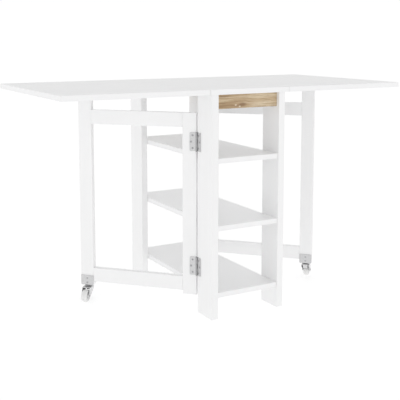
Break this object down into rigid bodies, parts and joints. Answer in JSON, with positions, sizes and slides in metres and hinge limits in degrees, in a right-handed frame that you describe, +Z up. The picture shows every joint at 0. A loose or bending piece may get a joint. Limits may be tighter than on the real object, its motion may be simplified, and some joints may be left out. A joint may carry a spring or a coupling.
{
  "type": "gateleg table",
  "caption": "Gateleg table: a narrow shelved centre unit with two drop leaves, held up by hinged gates on swivel casters.",
  "frame": {"origin": "on the floor, under the middle of the table", "axes": "+Z up, X along the table's length from leaf to leaf, Y across its depth with the front at -Y"},
  "size_m": [1.274, 0.63, 0.75],
  "materials": {
    "lacquer": "white satin lacquer on board",
    "oak": "matt oak-look laminate",
    "zinc_steel": "zinc-plated, satin",
    "dark_steel": "oiled, dark",
    "hub": "moulded nylon",
    "tyre": "pale non-marking rubber"
  },
  "bodies": {
    "centre_unit": {"back_apron": "oak", "back_left_post": "lacquer", "back_right_post": "lacquer", "front_apron": "oak", "front_left_post": "lacquer", "front_right_post": "lacquer", "left_gate_lower_hinge_pin": "zinc_steel", "left_gate_lower_hinge_post_plate": "zinc_steel", "left_gate_upper_hinge_pin": "zinc_steel", "left_gate_upper_hinge_post_plate": "zinc_steel", "left_leaf_back_hinge_centre_plate": "zinc_steel", "left_leaf_back_hinge_pin": "zinc_steel", "left_leaf_front_hinge_centre_plate": "zinc_steel", "left_leaf_front_hinge_pin": "zinc_steel", "lower_shelf": "lacquer", "middle_shelf": "lacquer", "right_gate_lower_hinge_pin": "zinc_steel", "right_gate_lower_hinge_post_plate": "zinc_steel", "right_gate_upper_hinge_pin": "zinc_steel", "right_gate_upper_hinge_post_plate": "zinc_steel", "right_leaf_back_hinge_centre_plate": "zinc_steel", "right_leaf_back_hinge_pin": "zinc_steel", "right_leaf_front_hinge_centre_plate": "zinc_steel", "right_leaf_front_hinge_pin": "zinc_steel", "top_centre": "lacquer", "upper_shelf": "lacquer"},
    "left_caster": {"left_caster_axle": "zinc_steel", "left_caster_fork": "zinc_steel", "left_caster_kingpin": "zinc_steel"},
    "left_gate": {"left_caster_bracket": "zinc_steel", "left_caster_race": "dark_steel", "left_gate_bottom_rail": "lacquer", "left_gate_hinge_stile": "lacquer", "left_gate_lower_hinge_gate_plate": "zinc_steel", "left_gate_outer_stile": "lacquer", "left_gate_top_rail": "lacquer", "left_gate_upper_hinge_gate_plate": "zinc_steel"},
    "left_leaf": {"left_leaf": "lacquer", "left_leaf_back_hinge_leaf_plate": "zinc_steel", "left_leaf_front_hinge_leaf_plate": "zinc_steel"},
    "left_wheel": {"left_caster_hub": "hub", "left_caster_tyre": "tyre"},
    "right_caster": {"right_caster_axle": "zinc_steel", "right_caster_fork": "zinc_steel", "right_caster_kingpin": "zinc_steel"},
    "right_gate": {"right_caster_bracket": "zinc_steel", "right_caster_race": "dark_steel", "right_gate_bottom_rail": "lacquer", "right_gate_hinge_stile": "lacquer", "right_gate_lower_hinge_gate_plate": "zinc_steel", "right_gate_outer_stile": "lacquer", "right_gate_top_rail": "lacquer", "right_gate_upper_hinge_gate_plate": "zinc_steel"},
    "right_leaf": {"right_leaf": "lacquer", "right_leaf_back_hinge_leaf_plate": "zinc_steel", "right_leaf_front_hinge_leaf_plate": "zinc_steel"},
    "right_wheel": {"right_caster_hub": "hub", "right_caster_tyre": "tyre"}
  },
  "joints": [
    {"name": "left_gate_swing", "type": "hinge", "parent": "centre_unit", "child": "left_gate", "pos_m": [-0.1425, -0.211, 0.366], "axis": [0, 0, 1], "range_deg": [-44, 46]},
    {"name": "left_caster_swivel", "type": "hinge", "parent": "left_gate", "child": "left_caster", "pos_m": [-0.40822, 0.0836, 0.05], "axis": [0, 0, 1], "continuous": true},
    {"name": "left_wheel_roll", "type": "hinge", "parent": "left_caster", "child": "left_wheel", "pos_m": [-0.42692, 0.06553, 0.0215], "axis": [-0.6947, 0.7193, 0], "continuous": true},
    {"name": "left_leaf_lift", "type": "hinge", "parent": "centre_unit", "child": "left_leaf", "pos_m": [-0.15, 0, 0.7295], "axis": [0, 1, 0], "range_deg": [0, 2.5]},
    {"name": "right_gate_swing", "type": "hinge", "parent": "centre_unit", "child": "right_gate", "pos_m": [0.1425, 0.211, 0.366], "axis": [0, 0, 1], "range_deg": [-44, 46]},
    {"name": "right_caster_swivel", "type": "hinge", "parent": "right_gate", "child": "right_caster", "pos_m": [0.40822, -0.0836, 0.05], "axis": [0, 0, 1], "continuous": true},
    {"name": "right_wheel_roll", "type": "hinge", "parent": "right_caster", "child": "right_wheel", "pos_m": [0.42692, -0.06553, 0.0215], "axis": [0.6947, -0.7193, 0], "continuous": true},
    {"name": "right_leaf_lift", "type": "hinge", "parent": "centre_unit", "child": "right_leaf", "pos_m": [0.15, 0, 0.7295], "axis": [0, -1, 0], "range_deg": [0, 2.5]}
  ]
}
